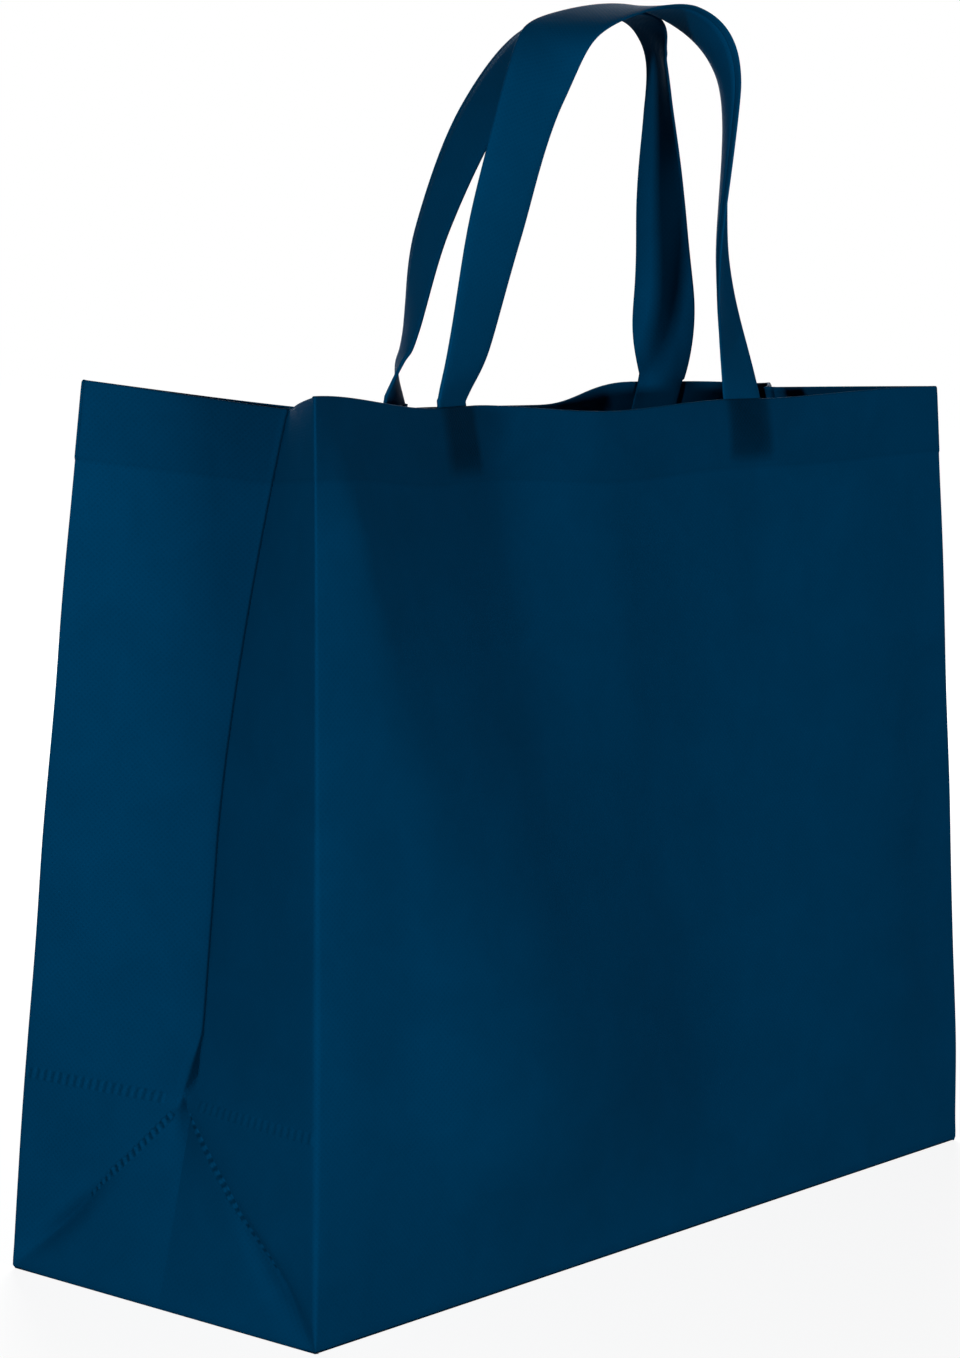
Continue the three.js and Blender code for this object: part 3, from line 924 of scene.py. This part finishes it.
def handle_frames(side, rim, route):
    """Centres, width directions, face directions and bows along a strip, from weld to weld."""
    weld_share = 1 - (HEM - WELD_END) / HEIGHT
    free_share = 1 + FLAT_RISE / HEIGHT
    left, left_turn = root_frame(rim, side, -1, free_share)
    right, right_turn = root_frame(rim, side, 1, free_share)
    centres, turns, bows = [left], [left_turn], [0.0]
    for across, edge, up, turn, bow in route:
        point = lerp(left, right, (across + 1) / 2)
        half_reach = abs(math.sin(math.radians(turn))) * STRIP_WIDTH / 2
        centres.append(point + np.array([0, side * half_reach - edge, up * STRIP_RISE]))
        turns.append(math.radians(turn))
        bows.append(bow)
    centres.append(right)
    turns.append(right_turn)
    bows.append(0.0)

    t = np.linspace(0, 1, HANDLE_STEPS + 1)
    free = catmull_rom(centres, t)
    turn = catmull_rom(np.array(turns)[:, None], t)[:, 0]
    bow = np.pad(catmull_rom(np.array(bows)[:, None], t)[:, 0], WELDED_STEPS)
    welded = np.linspace(weld_share, free_share, WELDED_STEPS + 1)[:-1]
    start = [root_frame(rim, side, -1, s) for s in welded]
    finish = [root_frame(rim, side, 1, s) for s in welded[::-1]]
    centre = np.concatenate([[p for p, _ in start], free, [p for p, _ in finish]])
    turn = np.concatenate([[a for _, a in start], turn, [a for _, a in finish]])
    along = unit(np.gradient(centre, axis=0))
    width = np.stack([np.cos(turn), np.sin(turn), np.zeros_like(turn)], -1)
    width = unit(width - along * (width * along).sum(1)[:, None])
    return centre, width, np.cross(along, width), bow


def strip_section():
    """The folded strip's section: one cloth folded in three, as a closed outline."""
    half = STRIP_WIDTH / 2

    def run(start, end, height):
        xs = lerp(start, end, np.linspace(0, 1, RUN_STEPS + 1))
        return np.stack([xs, np.full_like(xs, height)], -1)

    def turn_round(centre_x, centre_f, radius, from_angle, to_angle):
        angles = np.linspace(from_angle, to_angle, TURN_STEPS + 1)[1:-1]
        return np.stack([centre_x + radius * np.cos(angles), centre_f + radius * np.sin(angles)], -1)

    outer = LAYER_STEP + LAYER / 2
    inner_turn = LAYER_STEP / 2
    line = np.concatenate([
        run(-half + HIDDEN_EDGE, half - outer, 0),
        turn_round(half - outer, -inner_turn, inner_turn, math.pi / 2, -math.pi / 2),
        run(half - outer, -half + outer, -LAYER_STEP),
        turn_round(-half + outer, 0, LAYER_STEP, -math.pi / 2, -3 * math.pi / 2),
        run(-half + outer, half - FREE_EDGE, LAYER_STEP),
    ])
    tangent = unit(np.gradient(line, axis=0))
    sideways = np.stack([-tangent[:, 1], tangent[:, 0]], -1) * LAYER / 2
    return np.concatenate([line + sideways, (line - sideways)[::-1]])


def make_strip(name, side, rim, route, material):
    """One handle: the folded section along its route, with capped ends."""
    centre, width, face, bow = handle_frames(side, rim, route)
    section = strip_section()
    cloth = Cloth()
    along = distances(centre)
    around = distances(np.concatenate([section, section[:1]]))
    rows = []
    for i, here in enumerate(along):
        free = smoothstep(0, RIPPLE_RUN, min(here, along[-1] - here) - HEM)
        crown = bow[i] + CROWN * free * math.sin(here * CROWN_RATE + side)
        w = section[:, 0] * (1 + EDGE_RIPPLE * math.sin(here * EDGE_RATE + side) * free)
        f = section[:, 1] + crown * (1 - (2 * w / STRIP_WIDTH) ** 2)
        rows.append(cloth.add(centre[i] + width[i] * w[:, None] + face[i] * f[:, None]))
    cloth.sweep(rows, around, along, closed=True, flip=True)
    cloth.cap(rows[0], False)
    cloth.cap(rows[-1], True)
    return cloth.build(name, material)


# Welds and seams


def weld_band(cloth, tree, line, outward, lift):
    """A ladder weld that hugs the cloth along a line: raised between its bars, low at the bars."""
    line = np.asarray(line, float)
    along = distances(line)
    length = along[-1]
    count = int(length / (WELD_PITCH / BAND_STEPS))
    wanted = np.linspace(0, length, count + 1)
    centre = resampled(line, along, wanted)
    sideways = unit(np.cross(unit(np.gradient(centre, axis=0)), outward))
    across = np.linspace(-0.5, 0.5, BAND_COLUMNS + 1) * WELD_WIDTH
    edge = smoothstep(0, WELD_EDGE, 0.5 - np.abs(across) / WELD_WIDTH)
    rows = []
    for i, here in enumerate(wanted):
        ends = smoothstep(0, WELD_RUN, min(here, length - here))
        phase = (here + WELD_SLANT * across) / WELD_PITCH
        bar = weld_bar(phase) * edge
        # beside is a painted highlight on the raised cloth between the bars
        beside = weld_bar(phase - PAINTED_HIGHLIGHT_PHASE) * edge
        height = -WELD_SINK + (WELD_BED + lift * (1 - bar)) * edge * ends
        points = []
        for b, h in zip(across, height):
            near, normal, _, _ = tree.find_nearest(Vector(centre[i] + sideways[i] * b))
            points.append(np.array(near + normal * h))
        # Positive values darken the pressed bars; negative values paint a highlight beside them
        pressed = (bar - PAINTED_HIGHLIGHT_SHARE * beside) * ends * min(lift / WELD_LIFT, 1)
        rows.append(cloth.add(np.array(points), 0.0, pressed))
    cloth.sweep(rows, across, wanted, WELD_OFFSET)


def make_side_welds(name, right_side, web_tree, material):
    """The diagonal and level welds round one weld apex."""
    cloth = Cloth()
    outward = np.array([1.0 if right_side else -1.0, 0, 0])
    for start, run, end in ((NEAR_WELD_START, 1, 0), (FAR_WELD_START, 2, -1)):
        shares = np.linspace(start, SIDE_WELD_END, WELD_ROWS) * WELD_APEX / HEIGHT
        line = [side_points(right_side, s)[run][end] for s in shares]
        weld_band(cloth, web_tree, line, outward, WELD_LIFT)
    near_half, _, _, far_half = side_points(right_side, WELD_APEX / HEIGHT)
    near_line, far_line = near_half[::-1], far_half
    rear, front = (far_line, near_line) if right_side else (near_line, far_line)
    for line, share in ((rear, REAR_LEVEL_LIFT), (front, FRONT_LEVEL_LIFT)):
        weld_band(cloth, web_tree, past_distance(line, LEVEL_WELD_START), outward, share * WELD_LIFT)
    return cloth.build(name, material)


def make_fin(name, right_side, material):
    """The two web edges welded together inside the slit, standing into the bag."""
    cloth = Cloth()
    sign = -1 if right_side else 1
    heights = np.arange(WELD_APEX + FIN_FOOT, HEIGHT - FIN_TOP, FIN_STEP)
    share = np.array(FIN_OUT + FIN_OUT[::-1])
    out = share * FIN_WIDTH
    thick = np.array(FIN_THICK + [-t for t in FIN_THICK[::-1]]) * CLOTH
    across_bar = smoothstep(*FIN_BAR_START, share) * (1 - smoothstep(*FIN_BAR_END, share))
    rows = []
    for z in heights:
        _, near, _, _ = side_points(right_side, z / HEIGHT)
        root = near[-1] + np.array([sign * CLOTH * FIN_ROOT, 0, 0])
        bar = weld_bar(z / WELD_PITCH)
        pinch = 1 - FIN_PINCH * bar * across_bar
        x = root[0] + sign * out
        y = root[1] + thick * pinch + FIN_SWAY * math.sin(z * FIN_SWAY_RATE) * share
        points = np.stack([x, y, np.full_like(x, root[2])], -1)
        rows.append(cloth.add(points, 0.0, FIN_SHADE * bar * (pinch < FIN_PINCHED)))
    cloth.sweep(rows, distances(np.stack([out, thick], -1)), heights, FIN_OFFSET, flip=not right_side)
    cloth.cap(rows[0], right_side)
    cloth.cap(rows[-1], not right_side)
    return cloth.build(name, material)


# Material


def set_inputs(node, values):
    for name, value in values.items():
        node.inputs[name].default_value = value


class Nodes:
    """Short calls that add shader nodes and join them."""

    def __init__(self, owner):
        owner.use_nodes = True
        self.tree = owner.node_tree
        self.tree.nodes.clear()

    def add(self, kind, inputs=None, **settings):
        node = self.tree.nodes.new(kind)
        for key, value in settings.items():
            setattr(node, key, value)
        set_inputs(node, inputs or {})
        return node

    def join(self, source, target):
        self.tree.links.new(source, target)

    def math(self, operation, a, b=None, c=None, clamp=False):
        node = self.add("ShaderNodeMath", operation=operation, use_clamp=clamp)
        for socket, value in zip(node.inputs, (a, b, c)):
            if value is None:
                continue
            if isinstance(value, (int, float)):
                socket.default_value = value
            else:
                self.join(value, socket)
        return node.outputs[0]

    def sum(self, start, weights, sources, clamp=False):
        """The start value plus each source times its weight."""
        total = start
        for name, weight in weights.items():
            total = self.math("MULTIPLY_ADD", sources[name], weight, total)
        total.node.use_clamp = clamp
        return total

    def noise(self, place, settings):
        """Noise between about -0.5 and 0.5."""
        node = self.add("ShaderNodeTexNoise", settings, noise_dimensions="2D")
        self.join(place, node.inputs["Vector"])
        return self.math("SUBTRACT", node.outputs["Fac"], 0.5)

    def blend(self, value, from_low, from_high, to_low, to_high):
        """A smooth change of a value from one range to another."""
        ends = {"From Min": from_low, "From Max": from_high, "To Min": to_low, "To Max": to_high}
        node = self.add("ShaderNodeMapRange", ends, interpolation_type="SMOOTHSTEP")
        self.join(value, node.inputs["Value"])
        return node.outputs["Result"]


def cloth_material(name, base_colour):
    """Point-bonded non-woven: a lattice of small pressed points in matted fibres."""
    material = bpy.data.materials.new(name)
    n = Nodes(material)
    flat = n.add("ShaderNodeUVMap", uv_map="cloth").outputs["UV"]
    placing = {"Rotation": (0, 0, BOND_TURN), "Scale": (1 / BOND_PITCH,) * 3}
    turned = n.add("ShaderNodeMapping", placing, vector_type="POINT")
    n.join(flat, turned.inputs["Vector"])
    spacing = {"Scale": 1.0, "Randomness": BOND_RANDOMNESS}
    lattice = n.add("ShaderNodeTexVoronoi", spacing, voronoi_dimensions="2D", feature="F1")
    n.join(turned.outputs["Vector"], lattice.inputs["Vector"])

    split = n.add("ShaderNodeSeparateXYZ")
    n.join(flat, split.inputs[0])
    pressed = n.add("ShaderNodeAttribute", attribute_name="pressed").outputs["Fac"]
    waves = [
        n.math("SINE", n.math("MULTIPLY", split.outputs[k], 2 * math.pi / WAFFLE_PITCH)) for k in (0, 1)
    ]
    sources = {
        "bond": n.blend(lattice.outputs["Distance"], *BOND_EDGE, 0.0, 1.0),
        "fibre": n.noise(flat, FIBRE),
        "cloud": n.noise(flat, CLOUD),
        "layers": n.add("ShaderNodeAttribute", attribute_name="layers").outputs["Fac"],
        "pressed": pressed,
        "waffle": n.math("MULTIPLY", n.math("MULTIPLY", *waves), pressed),
    }

    colour = n.add("ShaderNodeMix", data_type="RGBA", blend_type="MULTIPLY")
    colour.inputs["Factor"].default_value = 1.0
    colour.inputs["A"].default_value = (*base_colour, 1)
    n.join(n.sum(1.0, SHADE, sources), colour.inputs["B"])
    bump = n.add("ShaderNodeBump", BUMP)
    n.join(n.sum(0.0, RELIEF, sources), bump.inputs["Height"])

    shader = n.add("ShaderNodeBsdfPrincipled", GLOSS)
    n.join(colour.outputs["Result"], shader.inputs["Base Color"])
    n.join(n.sum(ROUGHNESS, ROUGHNESS_CHANGE, sources, clamp=True), shader.inputs["Roughness"])
    n.join(bump.outputs["Normal"], shader.inputs["Normal"])
    n.join(shader.outputs["BSDF"], n.add("ShaderNodeOutputMaterial").inputs["Surface"])
    return material


# Floor, light and camera


def white_to_the_eye(n):
    """One for rays that show the surroundings: camera, glossy and transmitted ones."""
    path = n.add("ShaderNodeLightPath")
    seen = n.math("MAXIMUM", path.outputs["Is Camera Ray"], path.outputs["Is Glossy Ray"])
    return n.math("MAXIMUM", seen, path.outputs["Is Transmission Ray"])


def make_floor():
    """A pale floor that keeps the bag's shadow and shows white around it."""
    h = FLOOR_HALF
    mesh = bpy.data.meshes.new("floor")
    mesh.from_pydata([(-h, -h, 0), (h, -h, 0), (h, h, 0), (-h, h, 0)], [], [(0, 1, 2, 3)])
    floor = add_object("floor", mesh)
    floor.location.z = -FLOOR_DROP
    material = bpy.data.materials.new("pale_floor")
    n = Nodes(material)
    plain = n.add("ShaderNodeBsdfDiffuse", {"Color": (FLOOR_ALBEDO,) * 3 + (1,)})
    shown = n.add("ShaderNodeBsdfDiffuse", {"Color": (FLOOR_SHOWN_ALBEDO,) * 3 + (1,)})
    length = n.add("ShaderNodeVectorMath", operation="LENGTH")
    n.join(n.add("ShaderNodeNewGeometry").outputs["Position"], length.inputs[0])
    glow = n.add("ShaderNodeEmission")
    brighter = n.blend(length.outputs["Value"], FLOOR_NEAR, FLOOR_FAR, FLOOR_GLOW_NEAR, 1.0)
    n.join(brighter, glow.inputs["Strength"])
    both = n.add("ShaderNodeAddShader")
    n.join(shown.outputs[0], both.inputs[0])
    n.join(glow.outputs[0], both.inputs[1])
    pick = n.add("ShaderNodeMixShader")
    n.join(white_to_the_eye(n), pick.inputs[0])
    n.join(plain.outputs[0], pick.inputs[1])
    n.join(both.outputs[0], pick.inputs[2])
    n.join(pick.outputs[0], n.add("ShaderNodeOutputMaterial").inputs["Surface"])
    mesh.materials.append(material)


def make_world():
    """A world that is white to the eye and gives little light."""
    world = bpy.data.worlds.new("studio")
    bpy.context.scene.world = world
    n = Nodes(world)
    background = n.add("ShaderNodeBackground", {"Color": (1, 1, 1, 1)})
    strength = n.math("MULTIPLY_ADD", white_to_the_eye(n), 1 - WORLD_STRENGTH, WORLD_STRENGTH)
    n.join(strength, background.inputs["Strength"])
    n.join(background.outputs[0], n.add("ShaderNodeOutputWorld").inputs["Surface"])


def make_lamps():
    for name, facts in LAMPS.items():
        light = bpy.data.lights.new(name, "AREA")
        light.shape = "RECTANGLE"
        light.size, light.size_y = facts["size"]
        light.energy = facts["power"]
        lamp = add_object(name, light)
        lamp.location = facts["place"]
        toward = Vector(LAMP_TARGET) - Vector(facts["place"])
        lamp.rotation_euler = toward.to_track_quat("-Z", "Y").to_euler()


def make_camera():
    a, e, r = CAMERA_AZIMUTH, CAMERA_PITCH, CAMERA_ROLL
    back = Vector((math.sin(a) * math.cos(e), -math.cos(a) * math.cos(e), math.sin(e)))
    level = Vector((math.cos(a), math.sin(a), 0))
    above = back.cross(level)
    right = level * math.cos(r) + above * math.sin(r)
    up = above * math.cos(r) - level * math.sin(r)
    data = bpy.data.cameras.new("camera")
    data.sensor_width = SENSOR
    data.lens = FOCAL_PIXELS / PICTURE_HEIGHT * SENSOR
    data.clip_start = CLIP_NEAR
    data.clip_end = CLIP_FAR
    camera = add_object("camera", data)
    turn = Matrix((right, up, back)).transposed().to_4x4()
    camera.matrix_world = Matrix.Translation(CAMERA_PLACE) @ turn
    bpy.context.scene.camera = camera


# Build everything

cloth = cloth_material("cloth", CLOTH_COLOUR)
strip_cloth = cloth_material("strip_cloth", STRIP_COLOUR)
make_camera()
make_floor()
make_world()
make_lamps()

web = make_web(cloth)
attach(web, "root")
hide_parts("bag_body")
web_tree = BVHTree.FromObject(web, bpy.context.evaluated_depsgraph_get())

extras = [
    make_side_welds("left_welds", False, web_tree, cloth),
    make_side_welds("right_welds", True, web_tree, cloth),
    make_fin("left_seam", False, cloth),
    make_fin("right_seam", True, cloth),
]
for piece in extras:
    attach(piece, "root")

front_strip = make_strip("front_strip", -1, FRONT_RIM, FRONT_ROUTE, strip_cloth)
rear_strip = make_strip("rear_strip", 1, REAR_RIM, REAR_ROUTE, strip_cloth)
for strip, node in ((front_strip, "front_handle"), (rear_strip, "rear_handle")):
    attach(strip, "root")
    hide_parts(node)

bpy.context.scene.view_settings.view_transform = "Standard"
